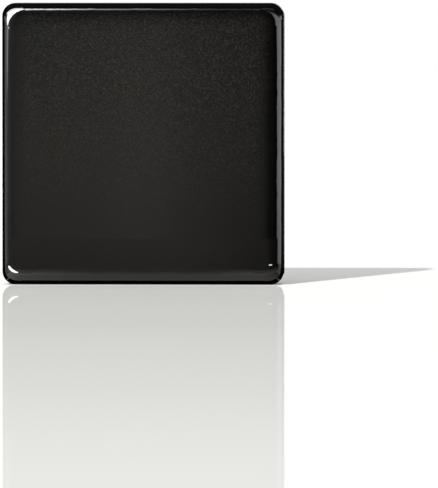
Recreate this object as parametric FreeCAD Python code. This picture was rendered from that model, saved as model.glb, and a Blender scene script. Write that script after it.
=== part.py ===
import FreeCAD, Part
import math
import os

# A square, pillow-edged lip-colour compact, standing on its latch edge.
# X runs across the case, Z runs up it, and Y runs from the lid's face (negative) to the back (positive).
# The origin is the middle of the standing edge. All sizes are in millimetres and degrees.

# Case
CASE_WIDTH = 62.0
CASE_HEIGHT = 62.0
PARTING_GAP = 0.1
CORNER_RADIUS = 2.9
FIT = 0.1  # clearance round every moulding or plate that drops into another

# Pillow of the lid: a tight edge that runs into a shallow crown, with corners that open out as they rise
EDGE_RADIUS = 2.6
CROWN_RADIUS = 20.0
CROWN_TILT = 8.6
CORNER_GROWTH = 0.5
EDGE_SECTIONS = 9
CROWN_SECTIONS = 7

# Shell walls
LID_FACE_WALL = 1.5
LID_SIDE_WALL = 1.6
BASE_BACK_WALL = 1.4
BASE_SIDE_WALL = 1.6
BACK_EDGE_RADIUS = 2.6
CAVITY_CORNER = 2.2
RIM_EDGE_RADIUS = 0.25  # of the outer edges where the two shells meet
MOUTH_BEVEL = 0.25  # round the mirror's window, the pan pockets and the brush channel
LABEL_SIZE = 30.0
LABEL_CORNER = 2.0
LABEL_DEPTH = 0.3

# Hinge
BARREL_RADIUS = 2.2
BARREL_CLEARANCE = 0.2
BARREL_WALL = 1.45
OPEN_ANGLE = 120.0
LUG_WIDTH = 8.0
LUG_INSET = 11.0
PIN_RADIUS = 0.6
PIN_RUNNING_CLEARANCE = 0.05
PIN_GRIP = 4.0
PIN_RECESS = 0.5

# Mirror and its frame
FRAME_BORDER = 3.0
FRAME_SINK = 1.0
FRAME_LIP = 0.9
MIRROR_OVERLAP = 1.2
MIRROR_THICKNESS = 1.3
MIRROR_CORNER = 1.6
TAPE_THICKNESS = 0.3
TAPE_MARGIN = 2.0

# Catch tongue of the mirror frame, and the ledge that it snaps behind
TONGUE_WIDTH = 7.0
TONGUE_THICKNESS = 1.3
TONGUE_REACH = 2.45
TONGUE_HEIGHT = 2.7
NOSE_LENGTH = 0.9
NOSE_DEPTH = 0.25
LEDGE_HEIGHT = 0.65
LEDGE_LENGTH = 0.8
LEDGE_SINK = 0.35
TONGUE_SLOT_CLEARANCE = 0.4

# Push button and its spring
BUTTON_WIDTH = 9.2
BUTTON_CORNER = 0.9
BUTTON_SINK = 1.85
BUTTON_RECESS = 0.25
BUTTON_TO_BACK_WALL = 0.85
FLANGE_SIDE = 0.8
FLANGE_BACK = 0.4
FLANGE_THICKNESS = 0.7
POST_RADIUS = 0.7
POST_LENGTH = 1.2
SPRING_WIRE = 0.3
SPRING_MEAN_RADIUS = 1.05
SPRING_TURNS = 5
TONGUE_TO_SPRING = 0.2

# Tray that holds the pans and the brush
DECK_SINK = 0.4
TRAY_FLOOR = 0.9
TRAY_EDGE = 1.2
TRAY_RIB = 1.5
LATCH_BAY_HEIGHT = 4.8
BAY_WALL = 0.9
BAY_SIDE_CLEARANCE = 0.8
DECK_SKIN = 0.9
CHANNEL_WIDTH = 6.2
CHANNEL_FLOOR = 0.7
CHANNEL_END_WALL = 2.3
CHANNEL_TO_PANS = 2.0
CHANNEL_CORNER = 1.2
SCOOP_WIDENING = 1.2
SCOOP_DEPTH = 2.6
SCOOP_FROM_CENTRE = 9.0
CRADLE_THICKNESS = 1.2
CRADLE_FROM_SCOOP = 10.5

# Pans and what they hold
PAN_COLUMNS = 3
PAN_ROWS = 2
PAN_DEPTH = 3.4
PAN_WALL = 0.35
PAN_CORNER = 1.8
PAN_SINK = 0.2
FILL_SINK = 0.5
GLUE_THICKNESS = 0.2
GLUE_RADIUS = 4.0

# Weight plate
PLATE_THICKNESS = 1.0
PLATE_MARGIN = 5.0
PLATE_CORNER = 3.0

# Lip brush
BRUSH_RADIUS = 1.75
BRUSH_SINK = 0.15
BRUSH_TO_FLOOR = 0.3
BRUSH_END_GAP = 1.0
HANDLE_TAIL_RADIUS = 1.15
TENON_LENGTH = 3.5
FERRULE_LENGTH = 10.0
FERRULE_WALL = 0.25
FERRULE_MOUTH_WIDE = 2.1
FERRULE_MOUTH_THIN = 1.05
BRISTLE_LENGTH = 9.0
BRISTLE_ROOT = 2.0
BRISTLE_BELLY = 2.3
BRISTLE_TIP_WIDE = 0.8
BRISTLE_TIP_THIN = 0.35

# Thicknesses, each the sum of what lies between a shell's outside and its rim
LID_THICKNESS = LID_FACE_WALL + TAPE_THICKNESS + MIRROR_THICKNESS + FRAME_LIP + FRAME_SINK
UNDER_PANS = PAN_SINK + PAN_DEPTH + GLUE_THICKNESS + TRAY_FLOOR
UNDER_BRUSH = BRUSH_SINK + 2 * BRUSH_RADIUS + BRUSH_TO_FLOOR + CHANNEL_FLOOR
TRAY_THICKNESS = max(UNDER_PANS, UNDER_BRUSH)
BASE_THICKNESS = DECK_SINK + TRAY_THICKNESS + PLATE_THICKNESS + BASE_BACK_WALL

# Places worked out from the sizes above
FRONT_Y = -(LID_THICKNESS + PARTING_GAP + BASE_THICKNESS) / 2
LID_RIM_Y = FRONT_Y + LID_THICKNESS
BASE_RIM_Y = LID_RIM_Y + PARTING_GAP
BACK_Y = BASE_RIM_Y + BASE_THICKNESS
MIDDLE_Z = CASE_HEIGHT / 2
HINGE_Y = (LID_RIM_Y + BASE_RIM_Y) / 2
HINGE_Z = CASE_HEIGHT - BARREL_RADIUS
TROUGH_RADIUS = BARREL_RADIUS + BARREL_CLEARANCE
LUG_OUTER_X = CASE_WIDTH / 2 - LUG_INSET
LUG_INNER_X = LUG_OUTER_X - LUG_WIDTH
HINGE_SIDE_Z = HINGE_Z - TROUGH_RADIUS - BARREL_WALL

LID_FLOOR_Y = FRONT_Y + LID_FACE_WALL
FRAME_FACE_Y = LID_RIM_Y - FRAME_SINK
MIRROR_FACE_Y = FRAME_FACE_Y - FRAME_LIP
MIRROR_BACK_Y = LID_FLOOR_Y + TAPE_THICKNESS

DECK_Y = BASE_RIM_Y + DECK_SINK
PAN_RIM_Y = DECK_Y + PAN_SINK
PAN_BOTTOM_Y = PAN_RIM_Y + PAN_DEPTH
POCKET_FLOOR_Y = PAN_BOTTOM_Y + GLUE_THICKNESS
TRAY_BACK_Y = DECK_Y + TRAY_THICKNESS
BASE_FLOOR_Y = TRAY_BACK_Y + PLATE_THICKNESS

TRAY_BOTTOM_Z = BASE_SIDE_WALL + FIT
TRAY_TOP_Z = HINGE_SIDE_Z - FIT
TRAY_HALF_WIDTH = CASE_WIDTH / 2 - BASE_SIDE_WALL - FIT
BAY_TOP_Z = TRAY_BOTTOM_Z + LATCH_BAY_HEIGHT
CHANNEL_BOTTOM_Z = BAY_TOP_Z + BAY_WALL
BRUSH_Z = CHANNEL_BOTTOM_Z + CHANNEL_WIDTH / 2
PANS_BOTTOM_Z = CHANNEL_BOTTOM_Z + CHANNEL_WIDTH + CHANNEL_TO_PANS
POCKET_WIDTH = (2 * (TRAY_HALF_WIDTH - TRAY_EDGE) - (PAN_COLUMNS - 1) * TRAY_RIB) / PAN_COLUMNS
POCKET_HEIGHT = (TRAY_TOP_Z - TRAY_EDGE - PANS_BOTTOM_Z - (PAN_ROWS - 1) * TRAY_RIB) / PAN_ROWS
PAN_WIDTH = POCKET_WIDTH - 2 * FIT
PAN_HEIGHT = POCKET_HEIGHT - 2 * FIT

CHANNEL_HALF_LENGTH = TRAY_HALF_WIDTH - CHANNEL_END_WALL
BRUSH_Y = DECK_Y + BRUSH_SINK + BRUSH_RADIUS
BRUSH_START_X = -CHANNEL_HALF_LENGTH + BRUSH_END_GAP
BRUSH_END_X = CHANNEL_HALF_LENGTH - BRUSH_END_GAP
FERRULE_END_X = BRUSH_END_X - BRISTLE_LENGTH
FERRULE_START_X = FERRULE_END_X - FERRULE_LENGTH
CHANNEL_FLOOR_Y = TRAY_BACK_Y - CHANNEL_FLOOR
SCOOP_RADIUS = CHANNEL_WIDTH / 2 + SCOOP_WIDENING

BUTTON_FRONT_Y = BASE_RIM_Y + BUTTON_SINK
BUTTON_BACK_Y = BASE_FLOOR_Y - BUTTON_TO_BACK_WALL
BUTTON_DEPTH = BUTTON_BACK_Y - BUTTON_FRONT_Y
BUTTON_Y = (BUTTON_FRONT_Y + BUTTON_BACK_Y) / 2
TONGUE_TIP_Y = BASE_RIM_Y + TONGUE_REACH
FLANGE_BASE_Z = BASE_SIDE_WALL + FIT / 2
FLANGE_TOP_Z = FLANGE_BASE_Z + FLANGE_THICKNESS
SPRING_Y = TONGUE_TIP_Y + TONGUE_TO_SPRING + SPRING_MEAN_RADIUS + SPRING_WIRE / 2


def point(x, y, z):
    return FreeCAD.Vector(x, y, z)


def outline(half_width, bottom, top, radius, y):
    """A closed rounded rectangle in the plane of the case, at depth y, centred on X = 0."""
    return offset_outline(0, half_width, bottom, top, radius, y)


def offset_outline(centre_x, half_width, bottom, top, radius, y):
    left = centre_x - half_width
    right = centre_x + half_width
    diagonal = radius * (1 - math.sqrt(0.5))
    corners = [
        (right, bottom, -1, 1),
        (right, top, -1, -1),
        (left, top, 1, -1),
        (left, bottom, 1, 1),
    ]
    edges = []
    ends = []
    for turn, (x, z, inward_x, inward_z) in enumerate(corners):
        on_level_side = point(x + inward_x * radius, y, z)
        on_upright_side = point(x, y, z + inward_z * radius)
        middle = point(x + inward_x * diagonal, y, z + inward_z * diagonal)
        level_first = turn % 2 == 0
        first, last = (on_level_side, on_upright_side) if level_first else (on_upright_side, on_level_side)
        edges.append(Part.Arc(first, middle, last).toShape())
        ends.append((first, last))
    wire_edges = []
    for turn, edge in enumerate(edges):
        wire_edges.append(edge)
        wire_edges.append(Part.makeLine(ends[turn][1], ends[(turn + 1) % 4][0]))
    return Part.Wire(wire_edges)


def plate(wire, thickness):
    """The solid between a closed outline and its copy that lies thickness further back."""
    return Part.Face(wire).extrude(point(0, thickness, 0))


def bevelled_opening(centre_x, half_width, bottom, top, radius, y0, y1):
    """What is cut away for an opening from y0 back to y1 with a bevelled mouth at y0."""
    opening = plate(offset_outline(centre_x, half_width, bottom, top, radius, y0), y1 - y0)
    wide_half = half_width + MOUTH_BEVEL
    wide_radius = radius + MOUTH_BEVEL
    wide = offset_outline(centre_x, wide_half, bottom - MOUTH_BEVEL, top + MOUTH_BEVEL, wide_radius, y0)
    narrow = offset_outline(centre_x, half_width, bottom, top, radius, y0 + MOUTH_BEVEL)
    return opening.fuse(Part.makeLoft([wide, narrow], True, True))


def rounded_rim(shape, y, radius):
    """The shape with its outer edges at depth y rounded."""
    return shape.makeFillet(radius, [edge for edge in shape.Edges if is_at_depth(edge, y)])


def is_at_depth(edge, y):
    box = edge.BoundBox
    return max(abs(box.YMin - y), abs(box.YMax - y)) < 1e-6


def block(x0, x1, y0, y1, z0, z1):
    return Part.makeBox(x1 - x0, y1 - y0, z1 - z0, point(x0, y0, z0))


def bar(radius, x0, x1, y, z):
    """A round bar along X."""
    return Part.makeCylinder(radius, x1 - x0, point(x0, y, z), point(1, 0, 0))


def pillow_profile():
    """Pairs of (inset from the side, depth behind the front) from the side wall to the flat of the face."""
    tilt = math.radians(CROWN_TILT)
    crown_inset = EDGE_RADIUS + (CROWN_RADIUS - EDGE_RADIUS) * math.sin(tilt)
    edge_depth = CROWN_RADIUS - (CROWN_RADIUS - EDGE_RADIUS) * math.cos(tilt)
    profile = []
    for step in range(EDGE_SECTIONS):
        slope = math.pi / 2 + (tilt - math.pi / 2) * step / (EDGE_SECTIONS - 1)
        inset = EDGE_RADIUS * (1 - math.sin(slope))
        depth = edge_depth - EDGE_RADIUS * math.cos(slope)
        profile.append((inset, depth))
    for step in range(1, CROWN_SECTIONS):
        slope = tilt * (1 - step / (CROWN_SECTIONS - 1))
        inset = crown_inset - CROWN_RADIUS * math.sin(slope)
        depth = CROWN_RADIUS * (1 - math.cos(slope))
        profile.append((inset, depth))
    return profile


def pillow_block():
    """The lid's outer form: upright sides and a pillowed front."""
    profile = pillow_profile()
    sections = []
    for inset, depth in profile:
        radius = CORNER_RADIUS + CORNER_GROWTH * inset
        half_width = CASE_WIDTH / 2 - inset
        sections.append(outline(half_width, inset, CASE_HEIGHT - inset, radius, FRONT_Y + depth))
    front = Part.makeLoft(sections, True, False)
    side_start = FRONT_Y + profile[0][1]
    sides = rounded_rim(plate(sections[0], LID_RIM_Y - side_start), LID_RIM_Y, RIM_EDGE_RADIUS)
    return front.fuse(sides)


def case_prism(y0, y1):
    """The case's outline, straight through from y0 to y1."""
    return plate(outline(CASE_WIDTH / 2, 0, CASE_HEIGHT, CORNER_RADIUS, y0), y1 - y0)


def lug_spans():
    """The X ranges of the base's two hinge lugs."""
    return [(-LUG_OUTER_X, -LUG_INNER_X), (LUG_INNER_X, LUG_OUTER_X)]


def pin_spans():
    """The X ranges of the two hinge pins: each runs from its side of the case, through a lug, into the lid's barrel."""
    outer = CASE_WIDTH / 2 - PIN_RECESS
    inner = LUG_INNER_X - PIN_GRIP
    return {"left": (-outer, -inner), "right": (inner, outer)}


def lid_shell():
    barrel = bar(BARREL_RADIUS, -CASE_WIDTH / 2, CASE_WIDTH / 2, HINGE_Y, HINGE_Z)
    barrel = barrel.common(case_prism(HINGE_Y - BARREL_RADIUS, HINGE_Y + BARREL_RADIUS))
    shell = pillow_block().fuse(barrel)
    shell = shell.cut(lid_cavity(0, LID_FLOOR_Y, LID_RIM_Y))
    for x0, x1 in lug_spans():
        shell = shell.cut(bar(TROUGH_RADIUS, x0 - BARREL_CLEARANCE, x1 + BARREL_CLEARANCE, HINGE_Y, HINGE_Z))
    for side, (x0, x1) in pin_spans().items():
        drill_end = CASE_WIDTH / 2
        hole = (-drill_end, x1) if side == "left" else (x0, drill_end)
        shell = shell.cut(bar(PIN_RADIUS, hole[0], hole[1], HINGE_Y, HINGE_Z))
    return shell.removeSplitter()


def lid_cavity(clearance, y0, y1):
    """The hollow of the lid, or what fills it with a clearance all round."""
    half_width = CASE_WIDTH / 2 - LID_SIDE_WALL - clearance
    bottom = LID_SIDE_WALL + clearance
    top = HINGE_SIDE_Z - clearance
    return plate(outline(half_width, bottom, top, CAVITY_CORNER - clearance, y0), y1 - y0)


def lid_window_outline(border, corner, y):
    """A rounded rectangle inside the mirror frame, border in from the frame's outer edge."""
    half_width = CASE_WIDTH / 2 - LID_SIDE_WALL - FIT - border
    bottom = LID_SIDE_WALL + FIT + border
    top = HINGE_SIDE_Z - FIT - border
    return outline(half_width, bottom, top, corner, y)


def lid_window(border, corner, y0, y1):
    return plate(lid_window_outline(border, corner, y0), y1 - y0)


def mirror_frame():
    frame = lid_cavity(FIT, LID_FLOOR_Y, FRAME_FACE_Y)
    seat_border = FRAME_BORDER - MIRROR_OVERLAP - FIT
    frame = frame.cut(lid_window(seat_border, MIRROR_CORNER + FIT, LID_FLOOR_Y, MIRROR_FACE_Y))
    window = lid_window(FRAME_BORDER, MIRROR_CORNER, MIRROR_FACE_Y, FRAME_FACE_Y)
    mouth_border = FRAME_BORDER - MOUTH_BEVEL
    bevel = Part.makeLoft(
        [
            lid_window_outline(FRAME_BORDER, MIRROR_CORNER, FRAME_FACE_Y - MOUTH_BEVEL),
            lid_window_outline(mouth_border, MIRROR_CORNER + MOUTH_BEVEL, FRAME_FACE_Y),
        ],
        True,
        True,
    )
    return frame.cut(window.fuse(bevel)).fuse(catch_tongue()).removeSplitter()


def catch_tongue():
    """The tongue that reaches from the frame's face into the base, with its nose towards the standing edge."""
    half = TONGUE_WIDTH / 2
    root_y = FRAME_FACE_Y - FRAME_LIP / 2
    stem = block(-half, half, root_y, TONGUE_TIP_Y, TONGUE_HEIGHT, TONGUE_HEIGHT + TONGUE_THICKNESS)
    nose_corners = [
        point(-half, TONGUE_TIP_Y - NOSE_LENGTH, TONGUE_HEIGHT),
        point(-half, TONGUE_TIP_Y - NOSE_LENGTH * 0.6, TONGUE_HEIGHT - NOSE_DEPTH),
        point(-half, TONGUE_TIP_Y - NOSE_LENGTH * 0.4, TONGUE_HEIGHT - NOSE_DEPTH),
        point(-half, TONGUE_TIP_Y, TONGUE_HEIGHT),
    ]
    nose = Part.Face(Part.makePolygon(nose_corners + nose_corners[:1])).extrude(point(TONGUE_WIDTH, 0, 0))
    return stem.fuse(nose)


def mirror():
    return lid_window(FRAME_BORDER - MIRROR_OVERLAP, MIRROR_CORNER, MIRROR_BACK_Y, MIRROR_FACE_Y)


def mirror_tape():
    border = FRAME_BORDER - MIRROR_OVERLAP + TAPE_MARGIN
    return lid_window(border, MIRROR_CORNER, LID_FLOOR_Y, MIRROR_BACK_Y)


def hinge_pin(side):
    x0, x1 = pin_spans()[side]
    pin = bar(PIN_RADIUS, x0, x1, HINGE_Y, HINGE_Z)
    return pin.makeChamfer(PIN_RADIUS / 4, [edge for edge in pin.Edges if edge.Closed])


def swing_relief():
    """What the lid's hinge side sweeps through the base as it opens. Its slope is the stop at full opening."""
    angle = math.radians(OPEN_ANGLE)
    tangent_y = HINGE_Y + TROUGH_RADIUS * math.sin(angle)
    tangent_z = HINGE_Z + TROUGH_RADIUS * math.cos(angle)
    rise = 2 * (CASE_HEIGHT - tangent_z)
    corners = [
        point(-CASE_WIDTH, HINGE_Y, HINGE_Z),
        point(-CASE_WIDTH, tangent_y, tangent_z),
        point(-CASE_WIDTH, tangent_y - rise / math.tan(angle), tangent_z + rise),
        point(-CASE_WIDTH, HINGE_Y, tangent_z + rise),
    ]
    return Part.Face(Part.makePolygon(corners + corners[:1])).extrude(point(2 * CASE_WIDTH, 0, 0))


def hinge_lug(x0, x1):
    """One knuckle of the base, with the web that joins it to the wall of the trough."""
    web_radius = TROUGH_RADIUS + BARREL_WALL / 2
    web = bar(web_radius, x0, x1, HINGE_Y, HINGE_Z)
    web = web.common(block(x0, x1, BASE_RIM_Y, BACK_Y, 0, CASE_HEIGHT)).cut(swing_relief())
    return bar(BARREL_RADIUS, x0, x1, HINGE_Y, HINGE_Z).fuse(web)


def base_cavity(clearance, y0, y1):
    half_width = CASE_WIDTH / 2 - BASE_SIDE_WALL - clearance
    bottom = BASE_SIDE_WALL + clearance
    top = HINGE_SIDE_Z - clearance
    return plate(outline(half_width, bottom, top, CAVITY_CORNER - clearance, y0), y1 - y0)


def button_outline(clearance, z):
    """The push button's rounded face, at height z, as a closed wire."""
    half_width = BUTTON_WIDTH / 2 + clearance
    half_depth = BUTTON_DEPTH / 2 + clearance
    flat = offset_outline(0, half_width, -half_depth, half_depth, BUTTON_CORNER + clearance, 0)
    flat.rotate(point(0, 0, 0), point(1, 0, 0), 90)
    flat.translate(point(0, BUTTON_Y, z))
    return flat


def base_shell():
    shell = case_prism(BASE_RIM_Y, BACK_Y)
    shell = rounded_rim(shell, BACK_Y, BACK_EDGE_RADIUS)
    shell = rounded_rim(shell, BASE_RIM_Y, RIM_EDGE_RADIUS)
    shell = shell.cut(bar(TROUGH_RADIUS, -CASE_WIDTH, CASE_WIDTH, HINGE_Y, HINGE_Z)).cut(swing_relief())
    for x0, x1 in lug_spans():
        shell = shell.fuse(hinge_lug(x0, x1))
        shell = shell.cut(bar(PIN_RADIUS + PIN_RUNNING_CLEARANCE, x0, x1, HINGE_Y, HINGE_Z))
    shell = shell.cut(base_cavity(0, BASE_RIM_Y, BASE_FLOOR_Y))
    window = Part.Face(button_outline(FIT, -1)).extrude(point(0, 0, BASE_SIDE_WALL + 2))
    ledge_y = BASE_RIM_Y + LEDGE_SINK
    half = TONGUE_WIDTH / 2
    ledge = block(-half, half, ledge_y, ledge_y + LEDGE_LENGTH, BASE_SIDE_WALL / 2, BASE_SIDE_WALL + LEDGE_HEIGHT)
    half_label = LABEL_SIZE / 2
    label_wire = outline(half_label, MIDDLE_Z - half_label, MIDDLE_Z + half_label, LABEL_CORNER, BACK_Y - LABEL_DEPTH)
    return shell.cut(window).fuse(ledge).cut(plate(label_wire, 1)).removeSplitter()


def push_button():
    cap = Part.Face(button_outline(0, BUTTON_RECESS)).extrude(point(0, 0, FLANGE_BASE_Z - BUTTON_RECESS))
    face_edges = [edge for edge in cap.Edges if abs(edge.BoundBox.ZMax - BUTTON_RECESS) < 1e-6]
    cap = cap.makeFillet(BUTTON_RECESS, face_edges)
    half = BUTTON_WIDTH / 2 + FLANGE_SIDE
    flange_front = SPRING_Y - SPRING_MEAN_RADIUS - SPRING_WIRE / 2
    flange = block(-half, half, flange_front, BUTTON_BACK_Y + FLANGE_BACK, FLANGE_BASE_Z, FLANGE_TOP_Z)
    post = Part.makeCylinder(POST_RADIUS, POST_LENGTH, point(0, SPRING_Y, FLANGE_TOP_Z))
    return cap.fuse([flange, post]).removeSplitter()


def button_spring():
    """A coil between the button's flange and the wall of the brush channel."""
    rise = BAY_TOP_Z - FLANGE_TOP_Z - SPRING_WIRE
    helix = Part.makeHelix(rise / SPRING_TURNS, rise, SPRING_MEAN_RADIUS)
    section = Part.makeCircle(SPRING_WIRE / 2, point(SPRING_MEAN_RADIUS, 0, 0), point(0, 1, 0))
    coil = Part.Wire(helix).makePipeShell([Part.Wire(section)], True, True)
    coil.translate(point(0, SPRING_Y, FLANGE_TOP_Z + SPRING_WIRE / 2))
    return coil


def pocket_centres():
    """The centre (x, z) of each pan, row by row from the hinge side, left to right."""
    centres = []
    for row in range(PAN_ROWS):
        z = TRAY_TOP_Z - TRAY_EDGE - POCKET_HEIGHT / 2 - row * (POCKET_HEIGHT + TRAY_RIB)
        for column in range(PAN_COLUMNS):
            x = (column - (PAN_COLUMNS - 1) / 2) * (POCKET_WIDTH + TRAY_RIB)
            centres.append((x, z))
    return centres


def pan_plate(centre, inset, corner, y0, y1):
    """A rounded plate over one pan's outline, drawn in by inset."""
    x, z = centre
    half_height = PAN_HEIGHT / 2 - inset
    wire = offset_outline(x, PAN_WIDTH / 2 - inset, z - half_height, z + half_height, corner, y0)
    return plate(wire, y1 - y0)


def pan_tray():
    tray = base_cavity(FIT, DECK_Y, TRAY_BACK_Y)
    for x, z in pocket_centres():
        half_height = POCKET_HEIGHT / 2
        bottom = z - half_height
        top = z + half_height
        corner = PAN_CORNER + FIT
        tray = tray.cut(bevelled_opening(x, POCKET_WIDTH / 2, bottom, top, corner, DECK_Y, POCKET_FLOOR_Y))
    tray = tray.cut(brush_channel())
    bay_half = BUTTON_WIDTH / 2 + FLANGE_SIDE + BAY_SIDE_CLEARANCE
    tray = tray.cut(block(-bay_half, bay_half, DECK_Y + DECK_SKIN, TRAY_BACK_Y, 0, BAY_TOP_Z))
    slot_half = TONGUE_WIDTH / 2 + TONGUE_SLOT_CLEARANCE
    slot_top = TONGUE_HEIGHT + TONGUE_THICKNESS + TONGUE_SLOT_CLEARANCE
    return tray.cut(block(-slot_half, slot_half, DECK_Y, TRAY_BACK_Y, 0, slot_top)).removeSplitter()


def brush_channel():
    """The brush's trough with its finger scoop, less the two cradles that the handle lies in."""
    top = CHANNEL_BOTTOM_Z + CHANNEL_WIDTH
    trough = bevelled_opening(
        0, CHANNEL_HALF_LENGTH, CHANNEL_BOTTOM_Z, top, CHANNEL_CORNER, DECK_Y, CHANNEL_FLOOR_Y
    )
    scoop_axis = point(0, 1, 0)
    scoop = Part.makeCylinder(SCOOP_RADIUS, SCOOP_DEPTH, point(-SCOOP_FROM_CENTRE, DECK_Y, BRUSH_Z), scoop_axis)
    for direction in (-1, 1):
        x = -SCOOP_FROM_CENTRE + direction * CRADLE_FROM_SCOOP
        half = CRADLE_THICKNESS / 2
        cradle = block(x - half, x + half, BRUSH_Y, CHANNEL_FLOOR_Y, CHANNEL_BOTTOM_Z, top)
        trough = trough.cut(cradle.cut(brush_handle()))
    return trough.fuse(scoop)


def pan(centre):
    wall = pan_plate(centre, 0, PAN_CORNER, PAN_RIM_Y, PAN_BOTTOM_Y)
    wall = rounded_rim(wall, PAN_BOTTOM_Y, PAN_WALL)
    return wall.cut(pan_plate(centre, PAN_WALL, PAN_CORNER - PAN_WALL, PAN_RIM_Y, PAN_BOTTOM_Y - PAN_WALL))


def lipstick(centre):
    return pan_plate(centre, PAN_WALL, PAN_CORNER - PAN_WALL, PAN_RIM_Y + FILL_SINK, PAN_BOTTOM_Y - PAN_WALL)


def pan_glue_dots():
    dots = []
    for x, z in pocket_centres():
        dots.append(Part.makeCylinder(GLUE_RADIUS, GLUE_THICKNESS, point(x, PAN_BOTTOM_Y, z), point(0, 1, 0)))
    return Part.makeCompound(dots)


def weight_plate():
    bottom = PANS_BOTTOM_Z
    top = TRAY_TOP_Z - PLATE_MARGIN
    half_width = TRAY_HALF_WIDTH - PLATE_MARGIN
    return plate(outline(half_width, bottom, top, PLATE_CORNER, TRAY_BACK_Y), PLATE_THICKNESS)


def brush_handle():
    """A round handle that thins to a domed tail, with a tenon inside the ferrule."""
    shoulder = FERRULE_START_X
    tail = BRUSH_START_X + HANDLE_TAIL_RADIUS
    tenon_radius = BRUSH_RADIUS - FERRULE_WALL
    dome = HANDLE_TAIL_RADIUS * math.sqrt(0.5)
    edges = [
        Part.Arc(
            point(BRUSH_START_X, 0, 0), point(tail - dome, 0, dome), point(tail, 0, HANDLE_TAIL_RADIUS)
        ).toShape(),
        Part.makeLine(point(tail, 0, HANDLE_TAIL_RADIUS), point(shoulder, 0, BRUSH_RADIUS)),
        Part.makeLine(point(shoulder, 0, BRUSH_RADIUS), point(shoulder, 0, tenon_radius)),
        Part.makeLine(point(shoulder, 0, tenon_radius), point(shoulder + TENON_LENGTH, 0, tenon_radius)),
        Part.makeLine(point(shoulder + TENON_LENGTH, 0, tenon_radius), point(shoulder + TENON_LENGTH, 0, 0)),
        Part.makeLine(point(shoulder + TENON_LENGTH, 0, 0), point(BRUSH_START_X, 0, 0)),
    ]
    handle = Part.Face(Part.Wire(edges)).revolve(point(0, 0, 0), point(1, 0, 0), 360)
    handle.translate(point(0, BRUSH_Y, BRUSH_Z))
    return handle


def oval(x, wide, thin):
    """An ellipse across the brush at x, wide up the case and thin through it."""
    curve = Part.Ellipse(point(x, BRUSH_Y, BRUSH_Z + wide), point(x, BRUSH_Y + thin, BRUSH_Z), point(x, BRUSH_Y, BRUSH_Z))
    return Part.Wire(curve.toShape())


def ring(x, radius):
    return Part.Wire(Part.makeCircle(radius, point(x, BRUSH_Y, BRUSH_Z), point(1, 0, 0)))


def brush_ferrule():
    """A thin sleeve, round over the handle's tenon and pressed oval at the mouth."""
    sleeve_end = FERRULE_START_X + TENON_LENGTH
    inner = BRUSH_RADIUS - FERRULE_WALL
    collar = bar(BRUSH_RADIUS, FERRULE_START_X, sleeve_end, BRUSH_Y, BRUSH_Z)
    collar = collar.cut(bar(inner, FERRULE_START_X, sleeve_end, BRUSH_Y, BRUSH_Z))
    outer_cone = Part.makeLoft([ring(sleeve_end, BRUSH_RADIUS), oval(FERRULE_END_X, FERRULE_MOUTH_WIDE, FERRULE_MOUTH_THIN)], True)
    inner_mouth = oval(FERRULE_END_X, FERRULE_MOUTH_WIDE - FERRULE_WALL, FERRULE_MOUTH_THIN - FERRULE_WALL)
    inner_cone = Part.makeLoft([ring(sleeve_end, inner), inner_mouth], True)
    return collar.fuse(outer_cone.cut(inner_cone)).removeSplitter()


def brush_bristles():
    """The outer form of the tuft, from inside the ferrule's mouth to its rounded tip."""
    wide = FERRULE_MOUTH_WIDE - FERRULE_WALL
    thin = FERRULE_MOUTH_THIN - FERRULE_WALL
    root_x = FERRULE_END_X - BRISTLE_ROOT
    root = Part.makeLoft([oval(root_x, wide * 0.8, thin), oval(FERRULE_END_X, wide, thin)], True)
    belly_x = FERRULE_END_X + BRISTLE_LENGTH * 0.45
    tuft = Part.makeLoft(
        [
            oval(FERRULE_END_X, wide, thin),
            oval(belly_x, BRISTLE_BELLY, thin),
            oval(BRUSH_END_X, BRISTLE_TIP_WIDE, BRISTLE_TIP_THIN),
        ],
        True,
    )
    return root.fuse(tuft)


def pieces():
    """Every node of the compact by name."""
    made = {
        "lid_shell": lid_shell(),
        "mirror_frame": mirror_frame(),
        "mirror": mirror(),
        "mirror_tape": mirror_tape(),
        "base_shell": base_shell(),
        "pan_tray": pan_tray(),
        "weight_plate": weight_plate(),
        "push_button": push_button(),
        "button_spring": button_spring(),
        "pan_glue_dots": pan_glue_dots(),
        "brush_handle": brush_handle(),
        "brush_ferrule": brush_ferrule(),
        "brush_bristles": brush_bristles(),
    }
    for side in pin_spans():
        made[f"hinge_pin_{side}"] = hinge_pin(side)
    for number, centre in enumerate(pocket_centres(), start=1):
        made[f"pan_{number}"] = pan(centre)
        made[f"lipstick_{number}"] = lipstick(centre)
    return made


def main():
    os.makedirs("parts", exist_ok=True)
    for name, shape in pieces().items():
        shape.exportStep(f"parts/{name}.step")
        print(f"{name}: {len(shape.Solids)} solid(s), {shape.Volume:.1f} mm3, valid {shape.isValid()}")


main()
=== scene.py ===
import math
import random

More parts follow.
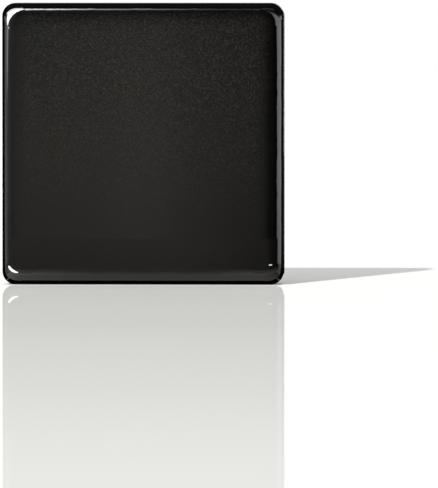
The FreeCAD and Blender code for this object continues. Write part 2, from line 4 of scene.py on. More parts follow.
import bpy
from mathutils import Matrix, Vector


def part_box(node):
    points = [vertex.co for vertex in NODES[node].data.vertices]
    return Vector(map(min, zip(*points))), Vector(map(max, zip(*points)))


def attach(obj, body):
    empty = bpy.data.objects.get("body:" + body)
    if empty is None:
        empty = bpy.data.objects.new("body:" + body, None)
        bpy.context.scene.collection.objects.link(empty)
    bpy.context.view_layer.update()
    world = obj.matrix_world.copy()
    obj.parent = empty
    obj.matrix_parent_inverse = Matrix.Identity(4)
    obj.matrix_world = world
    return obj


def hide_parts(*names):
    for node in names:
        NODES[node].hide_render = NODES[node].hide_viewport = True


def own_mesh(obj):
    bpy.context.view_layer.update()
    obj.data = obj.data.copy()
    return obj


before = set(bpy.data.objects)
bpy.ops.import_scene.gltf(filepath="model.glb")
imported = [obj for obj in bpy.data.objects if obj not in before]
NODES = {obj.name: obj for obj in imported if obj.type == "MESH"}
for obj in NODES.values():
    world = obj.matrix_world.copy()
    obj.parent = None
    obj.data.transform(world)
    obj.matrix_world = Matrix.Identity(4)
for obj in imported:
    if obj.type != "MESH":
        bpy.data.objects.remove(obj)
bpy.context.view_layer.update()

MM = 0.001
chance = random.Random(7)


# ---------------------------------------------------------------- finishes

def maths(tree, kind, *values):
    """The output of a Math node of this kind, wired to or set to the values."""
    node = tree.nodes.new("ShaderNodeMath")
    node.operation = kind
    for socket, value in zip(node.inputs, values):
        if isinstance(value, bpy.types.NodeSocket):
            tree.links.new(value, socket)
        else:
            socket.default_value = value
    return node.outputs[0]


def ramp_along(tree, place, stops):
    """A ramp over a distance in metres, from stops of a place in millimetres and a level."""
    start, end = stops[0][0], stops[-1][0]
    spread = tree.nodes.new("ShaderNodeMapRange")
    spread.inputs["From Min"].default_value = start * MM
    spread.inputs["From Max"].default_value = end * MM
    tree.links.new(place, spread.inputs["Value"])
    ramp = tree.nodes.new("ShaderNodeValToRGB")
    while len(ramp.color_ramp.elements) < len(stops):
        ramp.color_ramp.elements.new(0.5)
    for element, (at, level) in zip(ramp.color_ramp.elements, stops):
        element.position = (at - start) / (end - start)
        element.color = (level, level, level, 1)
    tree.links.new(spread.outputs[0], ramp.inputs[0])
    return ramp.outputs[0]


def object_axes(tree):
    """The three separate coordinates of the object itself."""
    place = tree.nodes.new("ShaderNodeSeparateXYZ")
    tree.links.new(tree.nodes.new("ShaderNodeTexCoord").outputs["Object"], place.inputs[0])
    return place.outputs


class Finish:
    """A new finish: its node tree, its shader and the helpers that wire them."""

    def __init__(self, name, colour, roughness, metal=0.0):
        self.material = bpy.data.materials.new(name)
        self.material.use_nodes = True
        self.tree = self.material.node_tree
        self.shader = self.tree.nodes["Principled BSDF"]
        self.shader.inputs["Base Color"].default_value = (*colour, 1)
        self.shader.inputs["Roughness"].default_value = roughness
        self.shader.inputs["Metallic"].default_value = metal
        self.place = self.tree.nodes.new("ShaderNodeTexCoord").outputs["Object"]

    def node(self, kind, **inputs):
        made = self.tree.nodes.new("ShaderNode" + kind)
        for name, value in inputs.items():
            socket = made.inputs[name.replace("_", " ")]
            if isinstance(value, bpy.types.NodeSocket):
                self.tree.links.new(value, socket)
            else:
                socket.default_value = value
        return made

    def stretched(self, scale):
        mapping = self.node("Mapping", Vector=self.place)
        mapping.inputs["Scale"].default_value = scale
        return mapping.outputs["Vector"]

    def grain(self, scale, detail=2.0, place=None):
        node = self.node("TexNoise", Vector=place or self.place, Scale=scale, Detail=detail)
        return node.outputs["Fac"]

    def between(self, value, low, high, start=0.0, end=1.0):
        node = self.node("MapRange", Value=value)
        node.inputs["From Min"].default_value = start
        node.inputs["From Max"].default_value = end
        node.inputs["To Min"].default_value = low
        node.inputs["To Max"].default_value = high
        return node.outputs["Result"]

    def absolute(self, value):
        return maths(self.tree, "ABSOLUTE", value)

    def product(self, first, second):
        return maths(self.tree, "MULTIPLY", first, second)

    def blend(self, value, first, second):
        node = self.tree.nodes.new("ShaderNodeMix")
        node.data_type = "RGBA"
        self.tree.links.new(value, node.inputs["Factor"])
        for name, colour in (("A", first), ("B", second)):
            if isinstance(colour, bpy.types.NodeSocket):
                self.tree.links.new(colour, node.inputs[name])
            else:
                node.inputs[name].default_value = (*colour, 1)
        return node.outputs["Result"]

    def wear(self, socket, value):
        self.tree.links.new(value, self.shader.inputs[socket])

    def bump(self, height, depth, socket="Normal", under=None):
        node = self.node("Bump", Height=height, Distance=depth, Strength=1.0)
        if under:
            self.tree.links.new(under, node.inputs["Normal"])
        self.tree.links.new(node.outputs["Normal"], self.shader.inputs[socket])
        return node.outputs["Normal"]


LACQUER_BLACK = (0.001, 0.001, 0.0009)
WARM_FLAKE = (0.0208, 0.019, 0.015)
COOL_FLAKE = (0.0178, 0.0172, 0.0198)
# where the pearl thins out, in metres, as painted shade: towards the sides, down to the foot, and at the
# top edge
SIDE_PAINTED_SHADE = (0.0248, 0.0288)
FOOT_PAINTED_SHADE = (0.014, 0.044)
TOP_EDGE_PAINTED_SHADE = (0.0585, 0.0608)


def pearl_lacquer():
    """Warm black with a fine pearl under a clear polished coat; the pearl thins out as painted shade at
    the sides, the foot and the top edge.
    """
    finish = Finish("pearl_black_lacquer", LACQUER_BLACK, 0.36)
    place = finish.node("SeparateXYZ", Vector=finish.place)
    side = finish.absolute(place.outputs["X"])
    flakes = finish.node("TexVoronoi", Vector=finish.place, Scale=4600.0)
    pearl = finish.between(flakes.outputs["Color"], 0.0, 1.0, 0.45, 0.95)
    up = place.outputs["Z"]
    # painted shade: the pearl dims towards the sides, down to the foot and at the top edge, so the upper
    # face reads lit
    for value, first, last, fade in (
        (side, 1.0, 0.0, SIDE_PAINTED_SHADE),
        (up, 0.12, 1.0, FOOT_PAINTED_SHADE),
        (up, 1.0, 0.0, TOP_EDGE_PAINTED_SHADE),
    ):
        pearl = finish.product(pearl, finish.between(value, first, last, *fade))
    shift = finish.between(finish.grain(65, 1), 0.0, 1.0, 0.38, 0.62)
    flake = finish.blend(shift, WARM_FLAKE, COOL_FLAKE)
    finish.wear("Base Color", finish.blend(pearl, LACQUER_BLACK, flake))
    finish.wear("Roughness", finish.between(finish.grain(90, 3), 0.32, 0.42))
    finish.bump(finish.grain(3400, 2), 0.006 * MM)
    finish.bump(finish.grain(260, 1), 0.0004 * MM, "Coat Normal")
    finish.shader.inputs["Specular IOR Level"].default_value = 0.0
    finish.shader.inputs["Coat Weight"].default_value = 1.0
    finish.shader.inputs["Coat Roughness"].default_value = 0.02
    return finish.material


def satin_moulding():
    """Black plastic with the fine spark texture of its mould."""
    finish = Finish("satin_black_moulding", (0.014, 0.0135, 0.013), 0.42)
    finish.wear("Roughness", finish.between(finish.grain(400, 3), 0.36, 0.5))
    patches = finish.grain(120, 2)
    finish.wear("Base Color", finish.blend(patches, (0.012, 0.0115, 0.011), (0.018, 0.017, 0.016)))
    finish.bump(finish.grain(7000, 2), 0.012 * MM)
    return finish.material


def looking_glass():
    finish = Finish("looking_glass", (0.9, 0.915, 0.91), 0.015, 1.0)
    finish.wear("Roughness", finish.between(finish.grain(60, 4), 0.008, 0.03))
    finish.bump(finish.grain(35, 0), 0.0006 * MM)
    return finish.material


def metal(name, colour, rough, lines, depth):
    """Bare metal with the lines of its rolling or turning across it."""
    finish = Finish(name, colour, rough, 1.0)
    streaks = finish.grain(1.0, 3, finish.stretched(lines))
    finish.wear("Roughness", finish.between(streaks, rough * 0.75, rough * 1.3))
    darker = tuple(channel * 0.86 for channel in colour)
    finish.wear("Base Color", finish.blend(finish.grain(220, 3), darker, colour))
    finish.bump(streaks, depth * MM)
    return finish.material


def cream(name, colour, pearl):
    """Poured lip colour: soft gloss, faint flow marks and sometimes a pearl."""
    finish = Finish(name, colour, 0.32)
    deep = tuple(channel * 0.86 for channel in colour)
    light = tuple(min(1.0, channel * 1.08 + 0.01) for channel in colour)
    finish.wear("Base Color", finish.blend(finish.grain(170, 3), deep, light))
    finish.wear("Roughness", finish.between(finish.grain(260, 3), 0.26, 0.4))
    flow = finish.node("TexWave", Vector=finish.place, Scale=70.0, Distortion=9.0, Detail=2.0)
    first = finish.bump(flow.outputs["Fac"], 0.006 * MM)
    finish.bump(finish.grain(5200, 1), pearl * MM, under=first)
    finish.shader.inputs["IOR"].default_value = 1.46
    finish.shader.inputs["Subsurface Weight"].default_value = 0.12
    finish.shader.inputs["Subsurface Radius"].default_value = (0.9, 0.35, 0.25)
    finish.shader.inputs["Subsurface Scale"].default_value = 0.0005
    return finish.material


def hair():
    finish = Finish("taklon_hair", (0.12, 0.055, 0.022), 0.38)
    along = finish.stretched((160, 5200, 5200))
    strands = finish.grain(1.0, 2, along)
    finish.wear("Base Color", finish.blend(strands, (0.055, 0.024, 0.01), (0.2, 0.1, 0.042)))
    finish.wear("Roughness", finish.between(finish.grain(900, 2), 0.3, 0.5))
    finish.bump(strands, 0.01 * MM)
    return finish.material


def handle_lacquer():
    finish = Finish("handle_lacquer", (0.012, 0.0115, 0.012), 0.16)
    finish.wear("Roughness", finish.between(finish.grain(500, 3), 0.12, 0.24))
    finish.bump(finish.grain(420, 2), 0.004 * MM)
    return finish.material


def foam():
    finish = Finish("foam_tape", (0.82, 0.81, 0.78), 0.85)
    cells = finish.node("TexVoronoi", Vector=finish.place, Scale=6500.0).outputs["Distance"]
    finish.wear("Base Color", finish.blend(cells, (0.68, 0.67, 0.64), (0.86, 0.85, 0.82)))
    finish.bump(cells, 0.05 * MM)
    return finish.material


def hot_glue():
    finish = Finish("hot_melt_glue", (0.72, 0.6, 0.38), 0.3)
    finish.wear("Base Color", finish.blend(finish.grain(300, 2), (0.62, 0.5, 0.3), (0.78, 0.68, 0.46)))
    finish.bump(finish.grain(500, 2), 0.03 * MM)
    finish.shader.inputs["Transmission Weight"].default_value = 0.25
    return finish.material


FINISHES = {
    "black_lacquer": pearl_lacquer(),
    "black_inner": satin_moulding(),
    "mirror": looking_glass(),
    "white_tape": foam(),
    "steel": metal("turned_steel", (0.62, 0.61, 0.6), 0.24, (6000, 300, 300), 0.002),
    "spring_steel": metal("spring_wire", (0.5, 0.49, 0.47), 0.26, (900, 900, 900), 0.002),
    "glue": hot_glue(),
    "aluminium": metal("drawn_aluminium", (0.83, 0.835, 0.84), 0.3, (260, 260, 5200), 0.0015),
    "black_handle": handle_lacquer(),
    "polished_ferrule": metal("polished_ferrule", (0.8, 0.79, 0.77), 0.13, (260, 5200, 5200), 0.0008),
    "bristle": hair(),
    "rose_cream": cream("rose_cream", (0.62, 0.17, 0.2), 0.004),
    "coral_cream": cream("coral_cream", (0.75, 0.16, 0.1), 0.002),
    "red_cream": cream("red_cream", (0.5, 0.012, 0.02), 0.002),
    "nude_cream": cream("nude_cream", (0.6, 0.3, 0.22), 0.006),
    "plum_cream": cream("plum_cream", (0.2, 0.018, 0.07), 0.006),
    "brick_cream": cream("brick_cream", (0.36, 0.055, 0.03), 0.002),
}
SLOTS = {name: node.data.materials[0].name for name, node in NODES.items()}
for name, node in NODES.items():
    for index, slot in enumerate(node.data.materials):
        node.data.materials[index] = FINISHES[slot.name]


# ---------------------------------------------------------------- modelling

def deselect():
    for thing in list(bpy.context.selected_objects):
        thing.select_set(False)


def named(name):
    made = bpy.context.object
    made.name = name
    made.data.name = name
    return made


def settle(piece):
    """Puts a piece's place into its mesh, its origin at the frame's."""
    deselect()
    piece.select_set(True)
    bpy.context.view_layer.objects.active = piece
    bpy.ops.object.transform_apply(location=True, rotation=True, scale=True)


def edit(piece, kind, chosen):
    """Into edit mode with the chosen vertices, edges or faces selected."""
    deselect()
    piece.select_set(True)
    bpy.context.view_layer.objects.active = piece
    bpy.context.tool_settings.mesh_select_mode = [kind == name for name in ("VERT", "EDGE", "FACE")]
    mesh = piece.data
    for group in (mesh.vertices, mesh.edges, mesh.polygons):
        group.foreach_set("select", [False] * len(group))
    group = {"VERT": mesh.vertices, "EDGE": mesh.edges, "FACE": mesh.polygons}[kind]
    for item in group:
        item.select = chosen(item)
    bpy.ops.object.mode_set(mode="EDIT")


def done():
    bpy.ops.object.mode_set(mode="OBJECT")


def span(piece, edge):
    """From one end of an edge to the other."""
    first, last = (piece.data.vertices[index].co for index in edge.vertices)
    return first - last


def apply(piece, kind, **settings):
    deselect()
    piece.select_set(True)
    bpy.context.view_layer.objects.active = piece
    modifier = piece.modifiers.new(kind.lower(), kind)
    for name, value in settings.items():
        setattr(modifier, name, value)
    bpy.ops.object.modifier_apply(modifier=modifier.name)


def copy_of(piece, name, move):
    twin = piece.copy()
    twin.data = piece.data.copy()
    twin.name = name
    twin.data.name = name
    bpy.context.scene.collection.objects.link(twin)
    twin.location = move
    settle(twin)
    return twin


def block(name, low, high):
    deselect()
    centre = [(a + b) / 2 for a, b in zip(low, high)]
    size = [b - a for a, b in zip(low, high)]
    bpy.ops.mesh.primitive_cube_add(size=1, location=centre, scale=size)
    piece = named(name)
    settle(piece)
    return piece


CREAM_CORNER = 1.45 * MM
# each ring's share of the fill's width and height, and how far it lies below the last
CREAM_RINGS = [
    (0.992, 0.045), (0.98, 0.035), (0.96, 0.028), (0.93, 0.02), (0.87, 0.014), (0.76, 0.012),
    (0.62, 0.014), (0.46, 0.018), (0.3, 0.02), (0.16, 0.012), (0.06, 0.004),
]


def poured_cream():
    """A pan's fill: it climbs the wall at its rim and dips a little in its middle."""
    low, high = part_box("lipstick_1")
    piece = block("poured_cream_1", low, high)
    edit(piece, "EDGE", lambda edge: abs(span(piece, edge).y) > MM)
    bpy.ops.mesh.bevel(offset=CREAM_CORNER, segments=10, profile=0.5)
    done()
    edit(piece, "FACE", lambda face: face.normal.y < -0.9)
    middle = [(a + b) / 2 for a, b in zip(low, high)]
    last = 1.0
    for share, sink in CREAM_RINGS:
        bpy.ops.mesh.extrude_region_move(TRANSFORM_OT_translate={"value": (0, sink * MM, 0)})
        bpy.ops.transform.resize(value=(share / last, 1, share / last), center_override=middle)
        last = share
    done()
    deselect()
    piece.select_set(True)
    bpy.ops.object.shade_smooth_by_angle(angle=math.radians(50))
    return piece


first_cream = poured_cream()
first_low = Vector(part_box("lipstick_1")[0])
for number in range(1, 7):
    node = f"lipstick_{number}"
    piece = first_cream
    if number > 1:
        piece = copy_of(first_cream, f"poured_cream_{number}", Vector(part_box(node)[0]) - first_low)
    piece.data.materials.clear()
    piece.data.materials.append(FINISHES[SLOTS[node]])
    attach(piece, "base")
    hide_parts(node)

# the brush lies along X; its axis runs through the middle of the handle
handle_low, handle_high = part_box("brush_handle")
BRUSH_Y = (handle_low[1] + handle_high[1]) / 2
BRUSH_Z = (handle_low[2] + handle_high[2]) / 2
ferrule_low, ferrule_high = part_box("brush_ferrule")
FERRULE_WALL = 0.25
# along the ferrule: distance from its start, half width up the case, half width through it
FERRULE_RINGS = [
    (0.06, 1.75, 1.75), (0.5, 1.75, 1.75), (0.62, 1.71, 1.71), (0.75, 1.67, 1.67),
    (0.88, 1.71, 1.71), (1.0, 1.75, 1.75), (1.5, 1.75, 1.75), (1.62, 1.71, 1.71),
    (1.75, 1.67, 1.67), (1.88, 1.71, 1.71), (2.0, 1.75, 1.75), (3.5, 1.75, 1.75), (4.6, 1.8, 1.66),
    (6.0, 1.88, 1.5), (7.6, 1.97, 1.31), (9.0, 2.05, 1.14), (9.7, 2.09, 1.07), (10.0, 2.1, 1.05),
]


def ferrule():
    """A crimped sleeve, round on the handle and pressed oval at its mouth."""
    deselect()
    start = ferrule_low[0]
    bpy.ops.mesh.primitive_circle_add(
        vertices=64, radius=1.7 * MM, location=(start, BRUSH_Y, BRUSH_Z), rotation=(0, math.radians(90), 0)
    )
    piece = named("crimped_ferrule")
    settle(piece)
    edit(piece, "EDGE", lambda edge: True)
    along, wide, thin = 0.0, 1.7, 1.7
    for next_along, next_wide, next_thin in FERRULE_RINGS:
        step = (next_along - along) * MM
        bpy.ops.mesh.extrude_edges_move(TRANSFORM_OT_translate={"value": (step, 0, 0)})
        middle = (start + next_along * MM, BRUSH_Y, BRUSH_Z)
        bpy.ops.transform.resize(value=(1, next_thin / thin, next_wide / wide), center_override=middle)
        along, wide, thin = next_along, next_wide, next_thin
    bpy.ops.mesh.select_all(action="SELECT")
    bpy.ops.mesh.normals_make_consistent(inside=False)
    done()
    apply(piece, "SOLIDIFY", thickness=FERRULE_WALL * MM, offset=-1.0)
    apply(piece, "BEVEL", width=0.05 * MM, segments=2, limit_method="ANGLE", angle_limit=math.radians(60))
    deselect()
    piece.select_set(True)
    bpy.ops.object.shade_smooth_by_angle(angle=math.radians(40))
    piece.data.materials.append(FINISHES["polished_ferrule"])
    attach(piece, "base")
    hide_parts("brush_ferrule")


bristle_low, bristle_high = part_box("brush_bristles")
HAIRS = 420
HAIR_RADIUS = 0.05
HAIR_TIP = 0.016
GOLDEN_ANGLE = math.radians(137.508)
# how much shorter the outermost hairs are, how ragged the tips are, and how far a root strays
ROUNDED = 0.2
RAGGED = 0.02
STRAY = 0.03 * MM
ROOT_WIDE = 1.78
ROOT_THIN = 0.74
SLICES = 32


def tuft_shape(along):
    """How much wider and thicker the tuft is than its root, from 0 at the root to 1 at the tip."""
    belly = 1 + 0.27 * math.sin(math.pi * min(1.0, max(0.0, (along - 0.12) / 0.86))) ** 1.3
    close = max(0.0, (along - 0.5) / 0.5)
    wide = belly * (1 - 0.58 * close ** 1.8)
    thin = (1 + 0.04 * math.sin(math.pi * along)) * (1 - 0.6 * close ** 1.6)
    return wide, thin


def tuft():
    """Tapered hairs set in the ferrule's mouth, longest in the middle."""
    length = bristle_high[0] - bristle_low[0]
    deselect()
    bpy.ops.mesh.primitive_cone_add(
        vertices=5, radius1=HAIR_RADIUS * MM, radius2=HAIR_TIP * MM, depth=length,
        location=(bristle_low[0] + length / 2, BRUSH_Y, BRUSH_Z), rotation=(0, math.radians(90), 0),
    )
    hair_piece = named("tuft")
    settle(hair_piece)
    edit(hair_piece, "EDGE", lambda edge: abs(span(hair_piece, edge).x) > MM)
    bpy.ops.mesh.subdivide(number_cuts=7)
    done()
    hairs = [hair_piece]
    for number in range(1, HAIRS):
        out = math.sqrt((number + 0.5) / HAIRS)
        turn = number * GOLDEN_ANGLE
        twin = hair_piece.copy()
        twin.data = hair_piece.data.copy()
        bpy.context.scene.collection.objects.link(twin)
        short = ROUNDED * out ** 3 + RAGGED * chance.random()
        twin.scale = (1 - short, 1, 1)
        twin.location = (
            bristle_low[0] * short,
            ROOT_THIN * MM * out * math.cos(turn) + chance.uniform(-STRAY, STRAY),
            ROOT_WIDE * MM * out * math.sin(turn) + chance.uniform(-STRAY, STRAY),
        )
        hairs.append(twin)
    deselect()
    for piece in hairs:
        piece.select_set(True)
    bpy.context.view_layer.objects.active = hair_piece
    bpy.ops.object.join()
    settle(hair_piece)
    for number in range(SLICES + 1):
        low = bristle_low[0] + length * (number - 0.5) / SLICES
        high = low + length / SLICES
        wide, thin = tuft_shape(number / SLICES)
        edit(hair_piece, "VERT", lambda vertex: low <= vertex.co.x < high)
        middle = (low, BRUSH_Y, BRUSH_Z)
        bpy.ops.transform.resize(value=(1, thin, wide), center_override=middle)
        done()
    deselect()
    hair_piece.select_set(True)
    bpy.ops.object.shade_smooth_by_angle(angle=math.radians(80))
    hair_piece.data.materials.append(FINISHES["bristle"])
    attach(hair_piece, "base")
    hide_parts("brush_bristles")


SPRING_WIRE = 0.3
SPRING_STEPS = 24
# how far a turn climbs at each end, where it lies closed on the next, and how many turns there are
END_PITCH = 0.32
END_TURNS = 1
OPEN_TURNS = 3


def coil_spring():
    """The button's return spring, wound with closed turns at each end."""
    low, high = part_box("button_spring")
    middle = ((low[0] + high[0]) / 2, (low[1] + high[1]) / 2)
    radius = (high[0] - low[0]) / 2 - SPRING_WIRE * MM / 2
    tall = high[2] - low[2]
    end_pitch = END_PITCH * MM
    open_pitch = (tall - SPRING_WIRE * MM - 2 * END_TURNS * end_pitch) / OPEN_TURNS
    turn = math.radians(360 / SPRING_STEPS)
    deselect()
    bpy.ops.mesh.primitive_circle_add(
        vertices=12, radius=SPRING_WIRE * MM / 2, fill_type="NGON",
        location=(middle[0] + radius, middle[1], low[2] + SPRING_WIRE * MM / 2),
        rotation=(math.radians(90), 0, 0),
    )
    piece = named("coil_spring")
    settle(piece)
    edit(piece, "EDGE", lambda edge: True)
    for pitch, turns in ((end_pitch, END_TURNS), (open_pitch, OPEN_TURNS), (end_pitch, END_TURNS)):
        for step in range(turns * SPRING_STEPS):
            bpy.ops.mesh.extrude_edges_move(TRANSFORM_OT_translate={"value": (0, 0, pitch / SPRING_STEPS)})
            bpy.ops.transform.rotate(value=turn, orient_axis="Z", center_override=(*middle, 0))
    bpy.ops.mesh.edge_face_add()
    bpy.ops.mesh.select_all(action="SELECT")
    bpy.ops.mesh.normals_make_consistent(inside=False)
    done()
    deselect()
    piece.select_set(True)
    bpy.ops.object.shade_smooth_by_angle(angle=math.radians(50))
    piece.data.materials.append(FINISHES["spring_steel"])
    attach(piece, "base")
    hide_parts("button_spring")
    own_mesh(piece)


ferrule()
tuft()
coil_spring()


# ---------------------------------------------------------------- studio

def glow(name, strength, fades=(), one_sided=False, colour=(1, 1, 1)):
    """A card's light. A fade is an axis and its stops: places in millimetres, shares of the strength."""
    finish = bpy.data.materials.new(name)
    finish.use_nodes = True
    tree = finish.node_tree
    tree.nodes.clear()
    link = tree.links.new
    out = tree.nodes.new("ShaderNodeOutputMaterial")
    emit = tree.nodes.new("ShaderNodeEmission")
    emit.inputs["Strength"].default_value = strength
    emit.inputs["Color"].default_value = (*colour, 1)
    if fades:
        axes = object_axes(tree)
        level = strength
        for axis, stops in fades:
            level = maths(tree, "MULTIPLY", ramp_along(tree, axes[axis], stops), level)
        link(level, emit.inputs["Strength"])
    shader = emit.outputs[0]
    if one_sided:
        mix = tree.nodes.new("ShaderNodeMixShader")
        link(tree.nodes.new("ShaderNodeNewGeometry").outputs["Backfacing"], mix.inputs[0])
        link(shader, mix.inputs[1])
        link(tree.nodes.new("ShaderNodeBsdfTransparent").outputs[0], mix.inputs[2])
        shader = mix.outputs[0]
    link(shader, out.inputs[0])
    return finish


QUARTER = math.radians(90)
# how a plane turns to face each way
FACING = {
    "+X": (0, QUARTER, 0), "-X": (0, -QUARTER, 0), "+Y": (-QUARTER, 0, 0), "-Y": (QUARTER, 0, 0),
    "+Z": (0, 0, 0), "-Z": (2 * QUARTER, 0, 0),
}


def only_reflected(made, light):
    """Lights a card and hides it from everything but mirror reflections."""
    made.data.materials.append(light)
    made.visible_camera = False
    made.visible_diffuse = False
    made.visible_shadow = False
    made.visible_transmission = False


def card(name, facing, low, high, strength, *fades, one_sided=False, colour=(1, 1, 1)):
    """A flat studio card between two corners that only shows in reflections."""
    deselect()
    centre = [(a + b) / 2 * MM for a, b in zip(low, high)]
    size = [(b - a) * MM for a, b in zip(low, high)]
    bpy.ops.mesh.primitive_plane_add(size=1, location=centre, rotation=FACING[facing])
    made = named(name)
    across, through, tall = size
    made.scale = {"X": (tall, through, 1), "Y": (across, tall, 1), "Z": (across, through, 1)}[facing[1]]
    settle(made)
    only_reflected(made, glow(name + "_light", strength, fades, one_sided, colour))


def cut_card(name, depth, corners, strength, *fades):
    """A card cut to a shape, facing the case: its corners run clockwise as the camera sees them."""
    deselect()
    bpy.ops.mesh.primitive_circle_add(
        vertices=len(corners), radius=MM, fill_type="NGON", location=(0, 0, 0)
    )
    made = named(name)
    for vertex, (across, up) in zip(made.data.vertices, corners):
        vertex.co = (across * MM, depth * MM, up * MM)
    made.data.update()
    only_reflected(made, glow(name + "_light", strength, fades, one_sided=True))


WARM = (1, 0.96, 0.87)
# dark flags beside, above and under the case keep its rims black; the one beneath the case is painted
# contact shade
card("flag_right", "-X", (60, 3.0, 0), (60, 1100, 260), 0.55,
     ("Y", [(3, 0.05), (80, 0.03), (180, 0.5), (350, 0.9), (700, 0.9), (900, 0.05), (1100, 0.05)]),
     one_sided=True)
card("flag_left", "+X", (-60, 0.2, 0), (-60, 300, 260), 0.55,
     ("Y", [(0.2, 0.0), (80, 0.0), (180, 0.5), (280, 0.9), (300, 0.9)]), one_sided=True)
card("flag_far_left", "+X", (-150, 40, 0), (-150, 1100, 400), 0.55,
     ("Y", [(40, 0.0), (250, 0.1), (500, 0.9), (1100, 1.0)]), one_sided=True)
card("flag_top", "-Z", (-200, -22, 90), (200, 600, 90), 0.8,
     ("Y", [(-22, 0.02), (-14, 0.06), (4, 0.1), (14, 0.03), (70, 0.0), (140, 0.3), (300, 0.9),
            (600, 1.0)]))
# flag_under is a black sheet on the table beneath the case, seen only in reflections: painted contact
# shade
card("flag_under", "+Z", (-30.7, -5.65, 0.02), (30.7, 6.0, 0.02), 0.0)
card("flag_under_right", "+Z", (31.2, -5.6, 0.02), (60, 1100, 0.02), 0.0, one_sided=True)
card("flag_under_left", "+Z", (-60, -5.6, 0.02), (-31.2, 300, 0.02), 0.0, one_sided=True)
# lit panels at the two sides draw the bars along the upright edges
card("panel_right", "-X", (150, -92, 0), (150, 76, 108), 2.95,
     ("Y", [(-92, 0.9), (-30, 1.0), (20, 1.0), (76, 0.75)]),
     ("Z", [(0, 0.7), (20, 0.95), (40, 1.0), (78, 1.0), (92, 0.55), (108, 0.0)]))
card("panel_left", "+X", (-150, -400, 0), (-150, 22, 300), 1.3,
     ("Y", [(-400, 0.27), (-200, 0.31), (-133, 0.42), (-98, 0.45), (-68, 0.6), (-37, 0.95),
            (22, 1.0)]))
card("panel_left_low", "+X", (-45, -60, 0), (-45, -8, 15), 1.3,
     ("Y", [(-60, 0.25), (-34, 0.28), (-21.4, 0.36), (-17, 0.4), (-13.4, 0.55), (-11, 0.7),
            (-8, 0.85)]), one_sided=True)
card("panel_left_high", "+X", (-149, -81, 38), (-149, -33, 90), 3.9,
     ("Z", [(38, 0.3), (47, 0.9), (60, 1.0), (90, 1.0)]))
# one strip overhead draws the thin line along the top edge, and cut lights round the top corners
card("strip_top", "-Z", (-60, -19.0, 75), (40, -13.6, 75), 19.0,
     ("X", [(-60, 0.95), (-30, 0.92), (-20.5, 0.8), (-10.7, 0.29), (-1.2, 0.19), (7.9, 0.1),
            (16.8, 0.035), (40, 0.03)]))
cut_card("wedge", -30, [
    (-76, 104), (-29, 104), (-29, 87), (-34, 78.5), (-39.5, 71.5), (-45, 67), (-53, 63), (-58, 60),
    (-61, 56), (-67, 56), (-69, 61), (-76, 66),
], 28.0)
cut_card("corner_right", -30, [
    (29.5, 84), (36, 81), (42, 77.5), (50, 76), (95, 78), (95, 59), (46, 59), (43, 66), (37, 73),
    (29.5, 79),
], 2.9,
    ("X", [(29.5, 0.15), (37, 0.35), (45, 0.85), (50, 1.0), (95, 1.0)]),
    ("Z", [(59, 1.0), (71, 1.0), (78, 0.3), (84, 0.25)])
)
# dim scrims in front fill the flat of the lid and the turn of its lower edge
card("scrim_front", "+Y", (-50, -75, 0), (110, -75, 84), 0.575,
     ("X", [(-50, 0.75), (-41, 0.79), (-33, 0.83), (-26, 0.84), (-13, 0.91), (-6, 1.0), (0, 0.97),
            (7, 0.79), (13, 0.67), (21, 0.54), (28, 0.42), (35, 0.29), (38, 0.2), (42, 0.11),
            (75, 0.03), (110, 0.03)]),
     ("Z", [(0, 0.85), (2, 0.87), (11, 0.94), (18, 0.985), (30, 0.97), (38, 0.89), (50, 0.82),
            (58, 0.74), (64, 0.58), (71, 0.42), (76, 0.3), (84, 0.2)]), one_sided=True, colour=WARM)
card("backdrop_front", "+Y", (-2500, -700, 0), (2500, -700, 1500), 1.0,
     ("X", [(-2500, 0.25), (-300, 0.2), (-60, 0.16), (-30, 0.1), (-10, 0.06), (2500, 0.04)]),
     one_sided=True)
card("scrim_low", "+Y", (-37, -11, 2.3), (40, -11, 10), 0.47,
     ("X", [(-37, 1.0), (-28, 0.9), (-22, 0.85), (-10, 0.9), (0, 0.94), (10, 0.9), (18, 0.74),
            (24, 0.56), (27.6, 0.54), (28.3, 0.43), (29, 0.31), (29.8, 0.18), (31, 0.14), (40, 0.1)]),
     ("Z", [(2.3, 0.95), (3.5, 0.85), (5, 0.87), (7, 0.94), (10, 1.0)]), one_sided=True, colour=WARM)
card("scrim_foot", "+Y", (-37, -11, 0), (40, -11, 2.3), 2.0,
     ("X", [(-37, 1.0), (-28, 0.95), (-22, 0.7), (-10, 0.52), (10, 0.5), (17, 0.53), (24, 0.7),
            (27, 0.7), (31, 0.45), (40, 0.25)]),
     ("Z", [(0, 0.95), (0.5, 0.82), (1.1, 0.62), (1.5, 0.47), (1.9, 0.41), (2.3, 0.37)]),
     one_sided=True, colour=WARM)
card("spill_floor", "+Z", (-33.5, -11, 0.03), (34, -5.65, 0.03), 2.0,
     ("X", [(-33.5, 0.95), (-31, 0.9), (-28, 0.62), (-22, 0.5), (-10, 0.42), (10, 0.42),
            (20, 0.46), (27, 0.46), (31, 0.3), (34, 0.15)]), one_sided=True, colour=WARM)
# two small lights glint in the lower corners
cut_card("crescent", -8.6, [
    (-33.2, 3.4), (-31.2, 3.4), (-30.2, 2.85), (-29.1, 2.35), (-28.1, 2.0), (-28.1, 1.7),
    (-29.5, 1.45), (-30.8, 1.6), (-32, 2.15), (-33.2, 2.9),
], 28.0)
card("glint_right", "+Y", (28.45, -10.5, 3.62), (29.6, -10.5, 3.92), 20.0, one_sided=True)


# how far in front of or behind the case, and how much of the light the table mirrors there; behind the
# case the share rises with distance, which lightens the far end of the key's shadow as painted light
POLISH_AND_SHADOW_LIFT = [
    (-700, 0.209), (-664, 0.218), (-551, 0.257), (-414, 0.32), (-291, 0.36), (-195, 0.404),
    (-106, 0.418), (-57, 0.442), (-13, 0.43), (-10, 0.34), (-6, 0.33), (-3, 0.14), (0, 0.14),
    (30, 0.22), (90, 0.29), (300, 0.29),
]

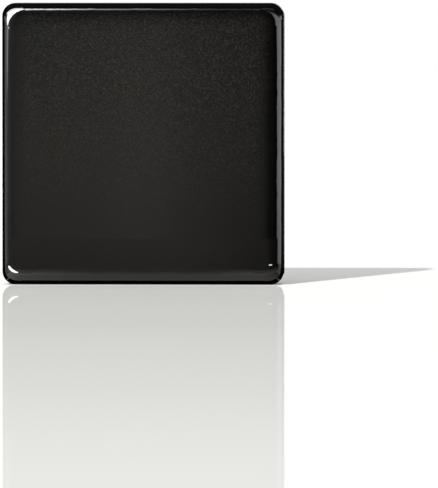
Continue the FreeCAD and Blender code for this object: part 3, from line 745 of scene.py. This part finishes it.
# the table mirrors only at a low slant: matt up to the first facing value, a full mirror from the second
MATT_FROM = 0.86
MIRROR_FROM = 0.925
TABLE_WHITE = (0.97, 0.975, 0.93, 1)
TABLE_LIFT = 0.165


def seen_rays(tree):
    """One for a ray that is looking at something, whether straight, in a mirror or through glass."""
    path = tree.nodes.new("ShaderNodeLightPath").outputs
    straight_or_mirrored = maths(tree, "MAXIMUM", path["Is Camera Ray"], path["Is Glossy Ray"])
    return maths(tree, "MAXIMUM", straight_or_mirrored, path["Is Transmission Ray"])


def table_finish():
    finish = bpy.data.materials.new("white_table")
    finish.use_nodes = True
    tree = finish.node_tree
    tree.nodes.clear()
    link = tree.links.new
    out = tree.nodes.new("ShaderNodeOutputMaterial")
    # the mirror share by place; behind the case it is painted light that lightens the far end of the
    # shadow
    polish_and_shadow_lift = ramp_along(tree, object_axes(tree)["Y"], POLISH_AND_SHADOW_LIFT)
    paint = tree.nodes.new("ShaderNodeBsdfDiffuse")
    paint.inputs["Color"].default_value = TABLE_WHITE
    emit = tree.nodes.new("ShaderNodeEmission")
    link(maths(tree, "MULTIPLY", seen_rays(tree), TABLE_LIFT), emit.inputs["Strength"])
    white = tree.nodes.new("ShaderNodeAddShader")
    link(paint.outputs[0], white.inputs[0])
    link(emit.outputs[0], white.inputs[1])
    gloss = tree.nodes.new("ShaderNodeBsdfGlossy")
    gloss.inputs["Roughness"].default_value = 0.0
    gloss.inputs["Color"].default_value = (1, 1, 1, 1)
    mix = tree.nodes.new("ShaderNodeMixShader")
    slant = tree.nodes.new("ShaderNodeMapRange")
    link(tree.nodes.new("ShaderNodeLayerWeight").outputs["Facing"], slant.inputs["Value"])
    slant.inputs["From Min"].default_value = MATT_FROM
    slant.inputs["From Max"].default_value = MIRROR_FROM
    link(maths(tree, "MULTIPLY", polish_and_shadow_lift, slant.outputs[0]), mix.inputs[0])
    link(white.outputs[0], mix.inputs[1])
    link(gloss.outputs[0], mix.inputs[2])
    link(mix.outputs[0], out.inputs[0])
    return finish


deselect()
TABLE_SIZE = 6
bpy.ops.mesh.primitive_plane_add(size=TABLE_SIZE, location=(0, 0, 0))
table = named("table")
table.data.materials.append(table_finish())

world = bpy.data.worlds.new("studio")
bpy.context.scene.world = world
world.use_nodes = True
tree = world.node_tree
background = tree.nodes["Background"]
# the room lights the case softly, and looks white wherever it is seen
ROOM_LIGHT = 0.3
ROOM_SEEN = 1.0
level = tree.nodes.new("ShaderNodeMapRange")
level.inputs["To Min"].default_value = ROOM_LIGHT
level.inputs["To Max"].default_value = ROOM_SEEN
tree.links.new(seen_rays(tree), level.inputs["Value"])
tree.links.new(level.outputs[0], background.inputs["Strength"])
background.inputs["Color"].default_value = (1, 1, 1, 1)

KEY_FROM = Vector((-0.294, -0.775, 0.553)).normalized()
KEY_STRENGTH = 3.4
KEY_SPREAD = math.radians(1.5)
lamp = bpy.data.lights.new("key", "SUN")
lamp.energy = KEY_STRENGTH
lamp.angle = KEY_SPREAD
key = bpy.data.objects.new("key", lamp)
key.rotation_euler = KEY_FROM.to_track_quat("Z", "Y").to_euler()
bpy.context.scene.collection.objects.link(key)

# ---------------------------------------------------------------- camera

AIM = Vector((0.016855, -0.0063, 0.00905))
DISTANCE = 1.8
SENSOR = 36
# what the frame's longer side takes in at the aim, in metres
FRAME_HEIGHT = 488 * 62 / 282.0 * MM
TURN = math.radians(2.0)
RISE = math.radians(2.1)
camera_data = bpy.data.cameras.new("view")
camera = bpy.data.objects.new("view", camera_data)
bpy.context.scene.collection.objects.link(camera)
away = Vector((math.sin(TURN) * math.cos(RISE), -math.cos(TURN) * math.cos(RISE), math.sin(RISE)))
camera.location = AIM + away * DISTANCE
camera.rotation_euler = away.to_track_quat("Z", "Y").to_euler()
camera_data.sensor_width = SENSOR
camera_data.lens = SENSOR * DISTANCE / FRAME_HEIGHT
camera_data.clip_end = 20
bpy.context.scene.camera = camera
bpy.context.scene.view_settings.view_transform = "Standard"
